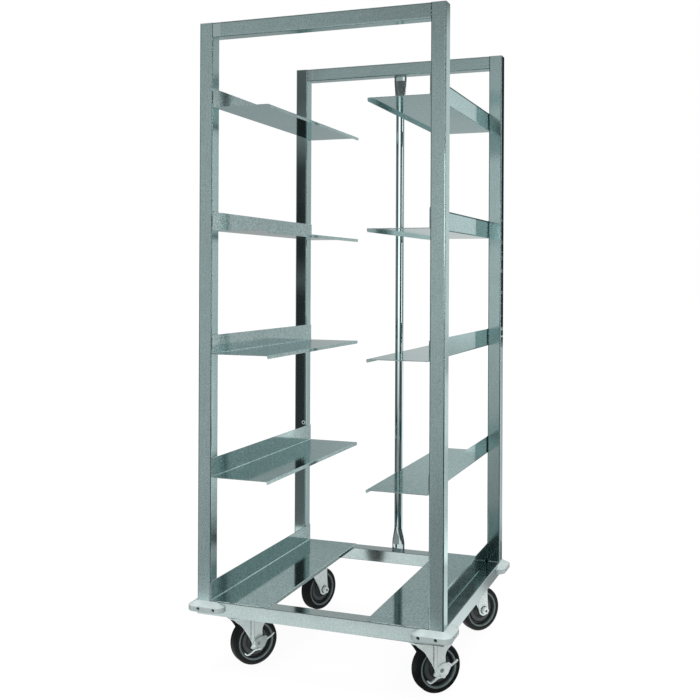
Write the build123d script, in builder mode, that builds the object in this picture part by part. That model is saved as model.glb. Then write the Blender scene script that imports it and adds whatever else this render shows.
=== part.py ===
from build123d import *
import os
from math import cos, sin, radians, sqrt

# Open tray rack cart: square-tube posts on a low base frame, five pairs of wide
# ledges, a stop rod at the back, corner bumpers and four swivel casters.
# Millimetres. +X is the cart's right, +Y its back, +Z up.
# Origin: centre of the footprint, on the floor.

# ---------------------------------------------------------------- dimensions
width = 660.0            # outside of the posts, left to right
depth = 660.0            # outside of the posts, front to back
frame_top = 195.0        # floor to the top of the base frame
post_height = 1494.0     # base frame to the top of the posts
tube = 38.0              # square tube of posts and top bars
tube_wall = 2.0
tube_corner = 3.5        # outer corner radius of the tube
cap_thickness = 2.0

rail_height = 36.0       # base frame tube, upright size
rail_depth = 44.0        # base frame tube, lying size
rail_wall = 2.5

ledge_pitch = 318.5
ledge_shelf = 160.0      # flange back to lip face
ledge_flange = 50.0
ledge_lip = 9.0
ledge_sheet = 2.0
ledge_bend = 4.2         # outer bend radius of the flange, 2.2 inside
ledge_setback = 2.0      # from the posts' front and back faces

rod_radius = 12.7
rod_wall = 1.5
rod_offset = 11.0        # the rod stands this far right of the middle
rod_flat_half_width = 19.6
rod_flat_half_depth = 3.2

bumper_out = 22.0        # how far a bumper stands out of the frame
bumper_leg = 80.0        # leg length along the frame, from its corner
bumper_height = 24.2
bumper_slope = 10.2      # drop of the sloped top, from the frame to the crease
bumper_hole_drop = 15.7  # top of the frame to the screw holes
bumper_holes = (14.0, 57.0)
screw_bore = 4.4         # counterbore for the screw head
screw_head = 4.1
screw_shank = 2.1

caster_inset_x = 79.0    # kingpin from the frame's side
caster_inset_y = 94.5    # kingpin from the frame's front or back
mount_thickness = 5.0
plate_x, plate_y, plate_thickness = 80.0, 95.0, 4.0
bolt_dx, bolt_dy = 27.0, 37.5
race_radius = 27.0
ball_radius = 4.0
ball_count = 12
crown_radius = 38.0
crown_thickness = 4.0
fork_half = 24.5         # outside of a leg from the wheel's middle plane
leg_thickness = 3.5
trail = 37.5             # kingpin to axle
wheel_radius = 63.5
tyre_half = 16.5
tyre_seat = 50.0         # radius where tyre and core meet
hub_half = 20.6
axle_radius = 6.0
bush_radius = 10.0
lever_thickness = 3.2
lever_pin = 4.0          # radius of the axle bolt's shoulder in the brake lever
running = 0.05           # radial play of a turning fit
race_play = 0.3          # between the balls and the lower race

# direction of each wheel's outward side, in degrees from +X
caster_yaw = {"front_left": -38.7, "front_right": -45.1, "rear_left": -22.9, "rear_right": -39.5}
caster_side = {"front_left": (-1, -1), "front_right": (1, -1), "rear_left": (-1, 1), "rear_right": (1, 1)}

hw = width / 2
hd = depth / 2
z_rail_bottom = frame_top - rail_height
z_post_top = frame_top + post_height
z_bar_bottom = z_post_top - tube
z_mount_bottom = z_rail_bottom - mount_thickness
z_plate_bottom = z_mount_bottom - plate_thickness
z_crown_top = frame_top - 58.5
z_crown_bottom = z_crown_top - crown_thickness
z_axle = wheel_radius

os.makedirs("parts", exist_ok=True)


# -------------------------------------------------------------------- posts
for name, sx, sy in (("front_left_post", -1, -1), ("front_right_post", 1, -1),
                     ("rear_left_post", -1, 1), ("rear_right_post", 1, 1)):
    px = sx * (hw - tube / 2)
    py = sy * (hd - tube / 2)
    with BuildPart() as post:
        with BuildSketch(Plane.XY.offset(frame_top)):
            with Locations((px, py)):
                RectangleRounded(tube, tube, tube_corner)
                RectangleRounded(tube - 2 * tube_wall, tube - 2 * tube_wall, 1.0, mode=Mode.SUBTRACT)
        extrude(amount=post_height - cap_thickness)
    post.part.label = name
    export_step(post.part, f"parts/{name}.step")

# caps that close the four posts
with BuildPart() as post_top_caps:
    with BuildSketch(Plane.XY.offset(z_post_top - cap_thickness)):
        with GridLocations(width - tube, depth - tube, 2, 2):
            RectangleRounded(tube, tube, tube_corner)
    extrude(amount=cap_thickness)
post_top_caps.part.label = "post_top_caps"
export_step(post_top_caps.part, "parts/post_top_caps.step")

# ----------------------------------------------------------------- top bars
for name, sy in (("front_top_bar", -1), ("rear_top_bar", 1)):
    with BuildPart() as bar:
        with BuildSketch(Plane.YZ.offset(-hw + tube)):
            with Locations((sy * (hd - tube / 2), z_bar_bottom + tube / 2)):
                RectangleRounded(tube, tube, tube_corner)
                RectangleRounded(tube - 2 * tube_wall, tube - 2 * tube_wall, 1.0, mode=Mode.SUBTRACT)
        extrude(amount=width - 2 * tube)
    bar.part.label = name
    export_step(bar.part, f"parts/{name}.step")

# --------------------------------------------------------- base frame rails
# front and rear rails: rectangular tube, mitred at both ends
for name, sy in (("front_base_rail", -1), ("rear_base_rail", 1)):
    with BuildPart() as rail:
        with BuildSketch(Plane.YZ.offset(-hw)):
            with Locations((sy * (hd - rail_depth / 2), z_rail_bottom + rail_height / 2)):
                RectangleRounded(rail_depth, rail_height, 1.5)
                Rectangle(rail_depth - 2 * rail_wall, rail_height - 2 * rail_wall, mode=Mode.SUBTRACT)
        extrude(amount=width)
        with BuildSketch(Plane.XY.offset(z_rail_bottom - 1)):
            Polygon((-hw, sy * hd), (hw, sy * hd),
                    (hw - rail_depth, sy * (hd - rail_depth)), (-hw + rail_depth, sy * (hd - rail_depth)), align=None)
        extrude(amount=rail_height + 2, mode=Mode.INTERSECT)
        # tapped holes for the bumper screws
        with BuildSketch(Plane.XZ.offset(-sy * (hd - rail_wall) if sy > 0 else hd - rail_wall)):
            with Locations(*[(s * (hw - d), frame_top - bumper_hole_drop) for s in (-1, 1) for d in bumper_holes]):
                Circle(screw_shank)
        extrude(amount=2 * rail_wall, both=True, mode=Mode.SUBTRACT)
    rail.part.label = name
    export_step(rail.part, f"parts/{name}.step")

# side rails
for name, sx in (("left_base_rail", -1), ("right_base_rail", 1)):
    with BuildPart() as rail:
        with BuildSketch(Plane.XZ.offset(-hd)):
            with Locations((sx * (hw - rail_depth / 2), z_rail_bottom + rail_height / 2)):
                RectangleRounded(rail_depth, rail_height, 1.5)
                Rectangle(rail_depth - 2 * rail_wall, rail_height - 2 * rail_wall, mode=Mode.SUBTRACT)
        extrude(amount=depth)
        with BuildSketch(Plane.XY.offset(z_rail_bottom - 1)):
            Polygon((sx * hw, -hd), (sx * hw, hd),
                    (sx * (hw - rail_depth), hd - rail_depth), (sx * (hw - rail_depth), -hd + rail_depth), align=None)
        extrude(amount=rail_height + 2, mode=Mode.INTERSECT)
        with BuildSketch(Plane.YZ.offset(sx * (hw - rail_wall))):
            with Locations(*[(s * (hd - d), frame_top - bumper_hole_drop) for s in (-1, 1) for d in bumper_holes]):
                Circle(screw_shank)
        extrude(amount=2 * rail_wall, both=True, mode=Mode.SUBTRACT)
    rail.part.label = name
    export_step(rail.part, f"parts/{name}.step")

# ------------------------------------------------------------------- ledges
# folded sheet: upright flange against the posts, wide shelf, small lip down.
# The lowest pair lies on the base frame, so its lip is cut away over the rails.
for side, sx in (("left", -1), ("right", 1)):
    for level in range(5):
        z0 = frame_top + level * ledge_pitch
        x0 = -hw + tube          # back of the flange, drawn for the left side
        x1 = x0 + ledge_shelf
        s = ledge_sheet
        name = f"{side}_ledge_{level + 1}"
        with BuildPart() as ledge:
            with BuildSketch(Plane.XZ.offset(-(hd - ledge_setback))) as section:
                with BuildLine():
                    Polyline((x0, z0), (x1 - s, z0), (x1 - s, z0 + s - ledge_lip), (x1, z0 + s - ledge_lip),
                             (x1, z0 + s), (x0 + s, z0 + s), (x0 + s, z0 + ledge_flange), (x0, z0 + ledge_flange), close=True)
                make_face()
                fillet(section.vertices().filter_by(lambda v: abs(v.Y - z0) < 0.01 and abs(v.X - x0) < 0.01), ledge_bend)
                fillet(section.vertices().filter_by(lambda v: abs(v.Y - z0 - s) < 0.01 and abs(v.X - x0 - s) < 0.01), ledge_bend - s)
                fillet(section.vertices().filter_by(lambda v: abs(v.Y - z0 - s) < 0.01 and abs(v.X - x1) < 0.01), 1.9)
            extrude(amount=depth - 2 * ledge_setback)
            # lip ends with rounded lower corners
            r = 5.0
            zl = z0 + s - ledge_lip
            for ye, sy in ((-(hd - ledge_setback), 1), (hd - ledge_setback, -1)):
                with BuildSketch(Plane.YZ.offset(x1 - s - 1)):
                    with BuildLine():
                        Line((ye - sy * 1, zl - 1), (ye - sy * 1, zl + r))
                        Line((ye - sy * 1, zl + r), (ye, zl + r))
                        if sy > 0:
                            RadiusArc((ye, zl + r), (ye + r, zl), -r)
                        else:
                            RadiusArc((ye, zl + r), (ye - r, zl), r)
                        Line((ye + sy * r, zl), (ye + sy * r, zl - 1))
                        Line((ye + sy * r, zl - 1), (ye - sy * 1, zl - 1))
                    make_face()
                extrude(amount=s + 2, mode=Mode.SUBTRACT)
            if level == 0:
                for sy in (-1, 1):
                    ymid = sy * (hd - (rail_depth + 2) / 2 + 3)
                    with BuildSketch(Plane.XY.offset(z0 - ledge_lip)):
                        with Locations((x1 - s / 2, ymid)):
                            Rectangle(s + 4, rail_depth + 8)
                    extrude(amount=ledge_lip, mode=Mode.SUBTRACT)
            if sx > 0:
                mirror(about=Plane.YZ, mode=Mode.REPLACE)
        ledge.part.label = name
        export_step(ledge.part, f"parts/{name}.step")

# ----------------------------------------------------------- rear stop rod
# round tube whose two ends are pressed flat and welded to bar and rail
rod_x = rod_offset
rod_y = hd - tube / 2
with BuildPart() as rear_stop_rod:
    z_lo, z_hi = frame_top, z_bar_bottom
    with BuildSketch(Plane.XY.offset(z_lo + 78)):
        with Locations((rod_x, rod_y)):
            Ellipse(rod_radius, rod_radius - 0.01)
            Circle(rod_radius - rod_wall, mode=Mode.SUBTRACT)
    extrude(amount=(z_hi - 120) - (z_lo + 78))
    # lower end
    with BuildSketch(Plane.XY.offset(z_lo)):
        with Locations((rod_x, rod_y)):
            Ellipse(rod_flat_half_width, rod_flat_half_depth)
    extrude(amount=18)
    with BuildSketch(Plane.XY.offset(z_lo + 18)):
        with Locations((rod_x, rod_y)):
            Ellipse(rod_flat_half_width, rod_flat_half_depth)
    with BuildSketch(Plane.XY.offset(z_lo + 36)):
        with Locations((rod_x, rod_y)):
            Ellipse(18.2, 6.2)
    with BuildSketch(Plane.XY.offset(z_lo + 58)):
        with Locations((rod_x, rod_y)):
            Ellipse(14.4, 10.8)
    with BuildSketch(Plane.XY.offset(z_lo + 78)):
        with Locations((rod_x, rod_y)):
            Ellipse(rod_radius, rod_radius - 0.01)
    loft()
    # upper end
    with BuildSketch(Plane.XY.offset(z_hi - 14)):
        with Locations((rod_x, rod_y)):
            Ellipse(rod_flat_half_width, rod_flat_half_depth)
    extrude(amount=14)
    with BuildSketch(Plane.XY.offset(z_hi - 120)):
        with Locations((rod_x, rod_y)):
            Ellipse(rod_radius, rod_radius - 0.01)
    with BuildSketch(Plane.XY.offset(z_hi - 88)):
        with Locations((rod_x, rod_y)):
            Ellipse(14.2, 11.0)
    with BuildSketch(Plane.XY.offset(z_hi - 50)):
        with Locations((rod_x, rod_y)):
            Ellipse(17.2, 7.4)
    with BuildSketch(Plane.XY.offset(z_hi - 14)):
        with Locations((rod_x, rod_y)):
            Ellipse(rod_flat_half_width, rod_flat_half_depth)
    loft()
rear_stop_rod.part.label = "rear_stop_rod"
export_step(rear_stop_rod.part, "parts/rear_stop_rod.step")

# ---------------------------------------------------------- corner bumpers
z_hole = frame_top - bumper_hole_drop
z_crease = frame_top - bumper_slope
z_bumper = frame_top - bumper_height
for corner, (sx, sy) in caster_side.items():
    name = f"{corner}_bumper"
    # drawn at the front left corner and mirrored to the others: one section,
    # drawn out along each leg and turned round the corner and round both ends
    bx, by = -hw, -hd
    o, g = bumper_out, bumper_leg
    with BuildPart() as bumper:
        with BuildSketch(Plane.YZ.offset(bx)):
            Polygon((by, z_bumper), (by - o, z_bumper), (by - o, z_crease), (by, frame_top), align=None)
        extrude(amount=g - o)
        with BuildSketch(Plane.XZ.offset(-by)):
            Polygon((bx, z_bumper), (bx - o, z_bumper), (bx - o, z_crease), (bx, frame_top), align=None)
        extrude(amount=-(g - o))
        for cx, cy, start in ((bx, by, 180), (bx + g - o, by, 270), (bx, by + g - o, 90)):
            turned = Plane(origin=(cx, cy, 0), x_dir=(cos(radians(start)), sin(radians(start)), 0),
                           z_dir=(sin(radians(start)), -cos(radians(start)), 0))
            with BuildSketch(turned):
                Polygon((0, z_bumper), (o, z_bumper), (o, z_crease), (0, frame_top), align=None)
            revolve(axis=Axis((cx, cy, 0), (0, 0, 1)), revolution_arc=90)
        outer = bumper.edges().filter_by(
            lambda e: not (abs(e.center().Y - by) < 0.01 and e.center().X > bx)
            and not (abs(e.center().X - bx) < 0.01 and e.center().Y > by))
        fillet(outer.filter_by(lambda e: abs(e.center().Z - z_crease) < 0.01), 1.2)
        outer2 = bumper.edges().filter_by(
            lambda e: not (abs(e.center().Y - by) < 0.01 and e.center().X > bx)
            and not (abs(e.center().X - bx) < 0.01 and e.center().Y > by))
        fillet(outer2.filter_by(lambda e: abs(e.center().Z - z_bumper) < 0.01), 2.5)
        # counterbored screw holes, two in each leg
        with BuildSketch(Plane.XZ.offset(-(by - o - 1))):
            with Locations(*[(bx + d, z_hole) for d in bumper_holes]):
                Circle(screw_bore)
        extrude(amount=-13, mode=Mode.SUBTRACT)
        with BuildSketch(Plane.XZ.offset(-(by - o - 1))):
            with Locations(*[(bx + d, z_hole) for d in bumper_holes]):
                Circle(screw_shank + 0.1)
        extrude(amount=-(o + 3), mode=Mode.SUBTRACT)
        with BuildSketch(Plane.YZ.offset(bx - o - 1)):
            with Locations(*[(by + d, z_hole) for d in bumper_holes]):
                Circle(screw_bore)
        extrude(amount=13, mode=Mode.SUBTRACT)
        with BuildSketch(Plane.YZ.offset(bx - o - 1)):
            with Locations(*[(by + d, z_hole) for d in bumper_holes]):
                Circle(screw_shank + 0.1)
        extrude(amount=o + 3, mode=Mode.SUBTRACT)
        if sx > 0:
            mirror(about=Plane.YZ, mode=Mode.REPLACE)
        if sy > 0:
            mirror(about=Plane.XZ, mode=Mode.REPLACE)
    bumper.part.label = name
    export_step(bumper.part, f"parts/{name}.step")

# sunk socket screws that hold the bumpers to the rails
with BuildPart() as bumper_screws:
    seat = bumper_out - 12.0
    for sy in (-1, 1):
        spots = [(s * (hw - d), z_hole) for s in (-1, 1) for d in bumper_holes]
        face = Plane.XZ.offset(hd + seat) if sy < 0 else Plane.XZ.offset(-(hd + seat))
        with BuildSketch(face):
            with Locations(*spots):
                Circle(screw_head)
        extrude(amount=-4.5 * sy)
        with BuildSketch(face):
            with Locations(*spots):
                Circle(screw_shank)
        extrude(amount=(seat + 8) * sy)
        tip = Plane.XZ.offset(hd + seat + 4.5) if sy < 0 else Plane.XZ.offset(-(hd + seat + 4.5))
        with BuildSketch(tip):
            with Locations(*spots):
                RegularPolygon(1.6, 6, major_radius=False)
        extrude(amount=2.6 * sy, mode=Mode.SUBTRACT)
    for sx in (-1, 1):
        spots = [(s * (hd - d), z_hole) for s in (-1, 1) for d in bumper_holes]
        face = Plane.YZ.offset(sx * (hw + seat))
        with BuildSketch(face):
            with Locations(*spots):
                Circle(screw_head)
        extrude(amount=4.5 * sx)
        with BuildSketch(face):
            with Locations(*spots):
                Circle(screw_shank)
        extrude(amount=-(seat + 8) * sx)
        with BuildSketch(Plane.YZ.offset(sx * (hw + seat + 4.5))):
            with Locations(*spots):
                RegularPolygon(1.6, 6, major_radius=False)
        extrude(amount=-2.6 * sx, mode=Mode.SUBTRACT)
bumper_screws.part.label = "bumper_screws"
export_step(bumper_screws.part, "parts/bumper_screws.step")

# ------------------------------------------- caster mounting plates and bolts
kingpins = {c: (sx * (hw - caster_inset_x), sy * (hd - caster_inset_y)) for c, (sx, sy) in caster_side.items()}
bolt_spots = [(kx + a * bolt_dx, ky + b * bolt_dy) for kx, ky in kingpins.values() for a in (-1, 1) for b in (-1, 1)]

with BuildPart() as caster_mounting_plates:
    with BuildSketch(Plane.XY.offset(z_mount_bottom)):
        for sx, sy in caster_side.values():
            Polygon((sx * (hw - 16), sy * (hd - 16)), (sx * (hw - 150), sy * (hd - 16)), (sx * (hw - 150), sy * (hd - 140)),
                    (sx * (hw - 125), sy * (hd - 165)), (sx * (hw - 16), sy * (hd - 165)), align=None)
        with Locations(*bolt_spots):
            Circle(4.2, mode=Mode.SUBTRACT)
    extrude(amount=mount_thickness)
caster_mounting_plates.part.label = "caster_mounting_plates"
export_step(caster_mounting_plates.part, "parts/caster_mounting_plates.step")

with BuildPart() as caster_bolts:
    with BuildSketch(Plane.XY.offset(z_plate_bottom - 5.3)):
        with Locations(*bolt_spots):
            RegularPolygon(6.5, 6, major_radius=False)
    extrude(amount=5.3)
    with BuildSketch(Plane.XY.offset(z_plate_bottom)):
        with Locations(*bolt_spots):
            Circle(4.0)
    extrude(amount=plate_thickness + mount_thickness + 9.0)
caster_bolts.part.label = "caster_bolts"
export_step(caster_bolts.part, "parts/caster_bolts.step")

with BuildPart() as caster_nuts:
    with BuildSketch(Plane.XY.offset(z_rail_bottom)):
        with Locations(*bolt_spots):
            RegularPolygon(6.5, 6, major_radius=False)
            Circle(4.0, mode=Mode.SUBTRACT)
    extrude(amount=6.5)
caster_nuts.part.label = "caster_nuts"
export_step(caster_nuts.part, "parts/caster_nuts.step")

# riveted kingpins: flush in the plate above, formed head under the fork's crown
with BuildPart() as caster_kingpins:
    with BuildSketch(Plane.XY.offset(z_crown_bottom - 0.3)):
        with Locations(*kingpins.values()):
            Circle(axle_radius)
    extrude(amount=z_mount_bottom - (z_crown_bottom - 0.3))
    with BuildSketch(Plane.XY.offset(z_crown_bottom - 0.3)):
        with Locations(*kingpins.values()):
            Circle(10.0)
    extrude(amount=-3.4, taper=18)
caster_kingpins.part.label = "caster_kingpins"
export_step(caster_kingpins.part, "parts/caster_kingpins.step")

# swivel balls, between the plate's race and the fork's crown
z_ball = z_crown_top + 1.5
with BuildPart() as swivel_balls:
    for kx, ky in kingpins.values():
        with Locations((kx, ky, z_ball)):
            with PolarLocations(race_radius, ball_count):
                Sphere(ball_radius)
swivel_balls.part.label = "swivel_balls"
export_step(swivel_balls.part, "parts/swivel_balls.step")

# ------------------------------------------------------------------ casters
for corner, (kx, ky) in kingpins.items():
    a = radians(caster_yaw[corner])
    n = Vector(cos(a), sin(a), 0)        # wheel's outward side
    t = Vector(-sin(a), cos(a), 0)       # from kingpin to axle
    axle = Vector(kx, ky, z_axle) + t * trail
    side = Plane(origin=axle, x_dir=t, z_dir=n)                       # u along the trail, v up
    radial = Plane(origin=axle, x_dir=n, z_dir=-t)                    # w along the axle, r up
    axle_line = Axis(axle, n)
    pin_line = Axis((kx, ky, 0), (0, 0, 1))
    front = corner.startswith("front")
    lever_face_in = fork_half + 4.2
    lever_face_out = lever_face_in + lever_thickness

    # top plate with the upper ball race pressed below it
    with BuildPart() as plate:
        with BuildSketch(Plane.XY.offset(z_plate_bottom)):
            with Locations((kx, ky)):
                RectangleRounded(plate_x, plate_y, 8)
                Circle(axle_radius, mode=Mode.SUBTRACT)
                with Locations(*[(p * bolt_dx, q * bolt_dy) for p in (-1, 1) for q in (-1, 1)]):
                    SlotOverall(11.0, 8.4, rotation=90, mode=Mode.SUBTRACT)
        extrude(amount=plate_thickness)
        race_plane = Plane(origin=(kx, ky, 0), x_dir=(1, 0, 0), z_dir=(0, -1, 0))
        z_race = z_crown_top + 3.0
        with BuildSketch(race_plane) as race:
            with BuildLine():
                Polyline((axle_radius, z_plate_bottom), (31.0, z_plate_bottom), (35.0, z_plate_bottom - 3), (37.0, z_race + 1.5),
                         (37.0, z_race), (axle_radius, z_race), close=True)
            make_face()
            with Locations((race_radius, z_ball)):
                Circle(ball_radius + running, mode=Mode.SUBTRACT)
        revolve(axis=pin_line)
    plate.part.label = f"{corner}_caster_plate"
    export_step(plate.part, f"parts/{corner}_caster_plate.step")

    # fork: round crown under the race, two legs with a pressed upright rib
    v_top = z_crown_top - z_axle
    with BuildPart() as fork:
        # the inner leg reaches a little further forward than the outer one, and
        # only the braked forks flare at the back
        for s, lead in ((1, ((-72.0, v_top), (-59.0, 60.0), (-46.5, 49.5), (-33.5, 31.0), (-22.8, 14.0), (-16.0, 0.0))),
                        (-1, ((-72.0, v_top), (-61.5, 60.0), (-51.0, 46.5), (-42.5, 34.0), (-29.0, 15.0), (-16.0, 0.0)))):
            with BuildSketch(side):
                with BuildLine():
                    Spline(*lead)
                    CenterArc((0, 0), 16.0, 180, 180)
                    if front:
                        Line((16.0, 0.0), (14.0, 24.0))
                        Spline((14.0, 24.0), (15.2, 38.0), (20.5, 47.0), (28.5, 54.0), (36.0, v_top))
                        Line((36.0, v_top), (-72.0, v_top))
                    else:
                        Line((16.0, 0.0), (13.0, 34.0))
                        Line((13.0, 34.0), (12.2, v_top))
                        Line((12.2, v_top), (-72.0, v_top))
                make_face()
            extrude(amount=s * fork_half)
        with BuildSketch(radial) as outer_section:
            with Locations((0, (v_top - 20.0) / 2)):
                Rectangle(2 * fork_half, v_top + 20.0)
            fillet(outer_section.vertices().group_by(Axis.Y)[-1], 9.0)
        extrude(amount=90, both=True, mode=Mode.INTERSECT)
        with BuildSketch(radial) as inner_section:
            with Locations((0, (v_top - crown_thickness - 30.0) / 2)):
                Rectangle(2 * (fork_half - leg_thickness), v_top - crown_thickness + 30.0)
            fillet(inner_section.vertices().group_by(Axis.Y)[-1], 5.5)
        extrude(amount=90, both=True, mode=Mode.SUBTRACT)
        with BuildSketch(Plane.XY.offset(z_crown_bottom)):
            with Locations((kx, ky)):
                Circle(crown_radius)
        extrude(amount=crown_thickness)
        # lower ball race and kingpin bore
        with BuildSketch(Plane(origin=(kx, ky, 0), x_dir=(1, 0, 0), z_dir=(0, -1, 0))):
            with Locations((race_radius, z_ball)):
                Circle(ball_radius + race_play)
        revolve(axis=pin_line, mode=Mode.SUBTRACT)
        with BuildSketch(Plane.XY.offset(z_crown_bottom - 1)):
            with Locations((kx, ky)):
                Circle(axle_radius + running)
        extrude(amount=crown_thickness + 2, mode=Mode.SUBTRACT)
        # ribs on the outside of the legs
        for s in (-1, 1):
            with BuildSketch(side.offset(s * fork_half)) as rib:
                with Locations((-15.2, 35.0)):
                    SlotOverall(57.0, 9.5, rotation=90)
            extrude(amount=s * 2.7, taper=16)
        # axle hole through both legs
        with BuildSketch(side):
            Circle(axle_radius + 0.25)
        extrude(amount=40, both=True, mode=Mode.SUBTRACT)
    fork.part.label = f"{corner}_fork"
    export_step(fork.part, f"parts/{corner}_fork.step")

    # wheel core: hub, recessed web with a raised band, rim with a proud edge ring
    half = [(bush_radius, hub_half), (15.5, hub_half), (17.5, 14.0), (23.5, 7.0), (26.5, 9.5), (36.0, 9.5), (39.0, 5.5), (43.5, 5.5), (45.5, 15.0), (tyre_seat, 15.6)]
    with BuildPart() as core:
        with BuildSketch(radial) as profile:
            with BuildLine():
                Polyline(*([(w, r) for r, w in half] + [(-w, r) for r, w in reversed(half)]), close=True)
            make_face()
            fillet(profile.vertices().filter_by(lambda v: 16.0 < v.Y < tyre_seat - 1), 1.1)
            fillet(profile.vertices().filter_by(lambda v: 11.0 < v.Y < 16.0), 1.6)
        revolve(axis=axle_line)
    core.part.label = f"{corner}_wheel_core"
    export_step(core.part, f"parts/{corner}_wheel_core.step")

    # tyre bonded round the rim, with round shoulders
    with BuildPart() as tyre:
        with BuildSketch(radial) as tread:
            with BuildLine():
                Polyline((-15.6, tyre_seat), (-tyre_half, tyre_seat + 2.5), (-tyre_half, wheel_radius), (tyre_half, wheel_radius),
                         (tyre_half, tyre_seat + 2.5), (15.6, tyre_seat), close=True)
            make_face()
            fillet(tread.vertices().group_by(Axis.Y)[-1], 8.5)
        revolve(axis=axle_line)
    tyre.part.label = f"{corner}_tyre"
    export_step(tyre.part, f"parts/{corner}_tyre.step")

    # plain bearing bush pressed in the hub
    with BuildPart() as bush:
        with BuildSketch(side):
            Circle(bush_radius)
            Circle(axle_radius + running, mode=Mode.SUBTRACT)
        extrude(amount=hub_half, both=True)
    bush.part.label = f"{corner}_wheel_bush"
    export_step(bush.part, f"parts/{corner}_wheel_bush.step")

    # axle bolt and its nut
    with BuildPart() as axle_bolt:
        if front:
            # shouldered down for the brake lever, with a sunk socket head
            # there, nut on the inner leg
            with BuildSketch(side.offset(-fork_half - 12.0)):
                Circle(axle_radius)
            extrude(amount=2 * fork_half + 12.0 + 3.9)
            with BuildSketch(radial):
                Polygon((fork_half + 3.9, 0), (fork_half + 3.9, lever_pin), (lever_face_in + 1.6, lever_pin),
                        (lever_face_out, lever_pin + 1.6), (lever_face_out, 0), align=None)
            revolve(axis=axle_line)
            with BuildSketch(side.offset(lever_face_out)):
                RegularPolygon(2.5, 6, major_radius=False)
            extrude(amount=-2.2, mode=Mode.SUBTRACT)
        else:
            # hexagon head on the inner leg, nut on the outer one
            with BuildSketch(side.offset(-fork_half)):
                Circle(axle_radius)
            extrude(amount=2 * fork_half + 12.0)
            with BuildSketch(side.offset(-fork_half)):
                RegularPolygon(9.0, 6, major_radius=False)
            extrude(amount=-7.5)
        # washer, then nut, each its own solid round the bolt
        out = -1 if front else 1
        with BuildSketch(side.offset(out * fork_half)):
            Circle(11.5)
            Circle(axle_radius + running, mode=Mode.SUBTRACT)
        extrude(amount=out * 1.6)
        with BuildSketch(side.offset(out * (fork_half + 1.65))) as nut_face:
            RegularPolygon(9.0, 6, major_radius=False)
            Circle(axle_radius + running, mode=Mode.SUBTRACT)
        extrude(amount=out * 8.5)
    axle_bolt.part.label = f"{corner}_axle_bolt"
    export_step(axle_bolt.part, f"parts/{corner}_axle_bolt.step")

    if front:
        # fixed cam plate on the fork's outer leg
        with BuildPart() as cam:
            with BuildSketch(side.offset(fork_half)) as cam_face:
                with BuildLine():
                    Polyline((-21.0, -10.5), (-17.5, -5.0), (-12.5, -0.5), (-9.0, 5.0), (3.0, 11.0), (11.0, 9.0), (13.0, 0.0), (8.0, -10.0),
                             (0.5, -14.8), (-9.5, -16.8), (-17.5, -14.0), close=True)
                make_face()
                fillet(cam_face.vertices(), 1.2)
                Circle(axle_radius + 0.25, mode=Mode.SUBTRACT)
            extrude(amount=3.6)
        cam.part.label = f"{corner}_brake_cam"
        export_step(cam.part, f"parts/{corner}_brake_cam.step")

        # see-saw lever: plate on the axle bolt, two foot tabs bent outwards
        with BuildPart() as lever:
            with BuildSketch(side.offset(lever_face_in)) as lever_face:
                with BuildLine():
                    Polyline((-8.3, 9.6), (1.0, 14.5), (11.3, 16.2), (20.2, 17.0), (29.0, 10.4), (24.5, 3.8), (20.6, -3.2), (17.0, -10.6),
                             (10.8, -15.3), (9.2, -19.0), (5.0, -20.2), (1.2, -17.6), (-1.5, -13.5), (-6.8, -7.5), (-8.2, -1.0), close=True)
                make_face()
                fillet(lever_face.vertices(), 1.2)
            extrude(amount=lever_thickness)
            with BuildSketch(side.offset(lever_face_in)):
                with BuildLine():
                    Spline((23.5, 7.5), (30.5, 11.6), (37.0, 15.0), (41.0, 17.8), (44.0, 21.0))
                trace(line_width=2.6)
            extrude(amount=5.8)
            with BuildSketch(side.offset(lever_face_in)):
                with BuildLine():
                    Spline((3.0, -14.6), (-6.0, -15.6), (-13.5, -16.8), (-20.0, -20.6), (-26.5, -24.0), (-33.0, -25.4), (-37.2, -23.6), (-39.8, -19.6))
                trace(line_width=3.0)
            extrude(amount=5.8)
            with BuildSketch(side.offset(lever_face_in - 1)):
                Circle(lever_pin + running)
            extrude(amount=lever_thickness + 8, mode=Mode.SUBTRACT)
            with BuildSketch(radial):
                Polygon((lever_face_in + 1.35, 0), (lever_face_in + 1.35, lever_pin + running), (lever_face_out + 0.2, lever_pin + 2.05),
                        (lever_face_out + 0.2, 0), align=None)
            revolve(axis=axle_line, mode=Mode.SUBTRACT)
        lever.part.label = f"{corner}_brake_lever"
        export_step(lever.part, f"parts/{corner}_brake_lever.step")
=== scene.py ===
import math
import bmesh
import bpy
from mathutils import Matrix, Vector, noise


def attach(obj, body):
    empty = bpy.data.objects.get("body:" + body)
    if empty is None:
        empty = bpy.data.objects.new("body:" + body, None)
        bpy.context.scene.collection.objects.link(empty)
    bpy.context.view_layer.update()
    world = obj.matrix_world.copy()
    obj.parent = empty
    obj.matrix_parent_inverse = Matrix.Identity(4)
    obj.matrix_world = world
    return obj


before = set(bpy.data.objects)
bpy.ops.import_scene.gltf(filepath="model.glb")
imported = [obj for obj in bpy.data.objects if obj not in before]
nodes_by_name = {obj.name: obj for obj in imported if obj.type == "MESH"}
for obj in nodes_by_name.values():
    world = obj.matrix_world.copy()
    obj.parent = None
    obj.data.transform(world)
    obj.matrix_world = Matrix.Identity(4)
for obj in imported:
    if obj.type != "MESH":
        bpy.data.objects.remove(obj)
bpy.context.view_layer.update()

# ------------------------------------------------------------------ sizes, metres
HW = 0.330            # half width and depth of the frame
TOP = 0.195           # top of the base frame
TUBE = 0.038
Z_TOP = 1.689
Z_BAR = Z_TOP - TUBE
PITCH = 0.3185
CORNERS = {"front_left": (-1, -1, -38.7), "front_right": (1, -1, -45.1),
           "rear_left": (-1, 1, -22.9), "rear_right": (1, 1, -39.5)}
WHEEL_R = 0.0635
TRAIL = 0.0375
KING_X, KING_Y = HW - 0.079, HW - 0.0945


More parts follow.
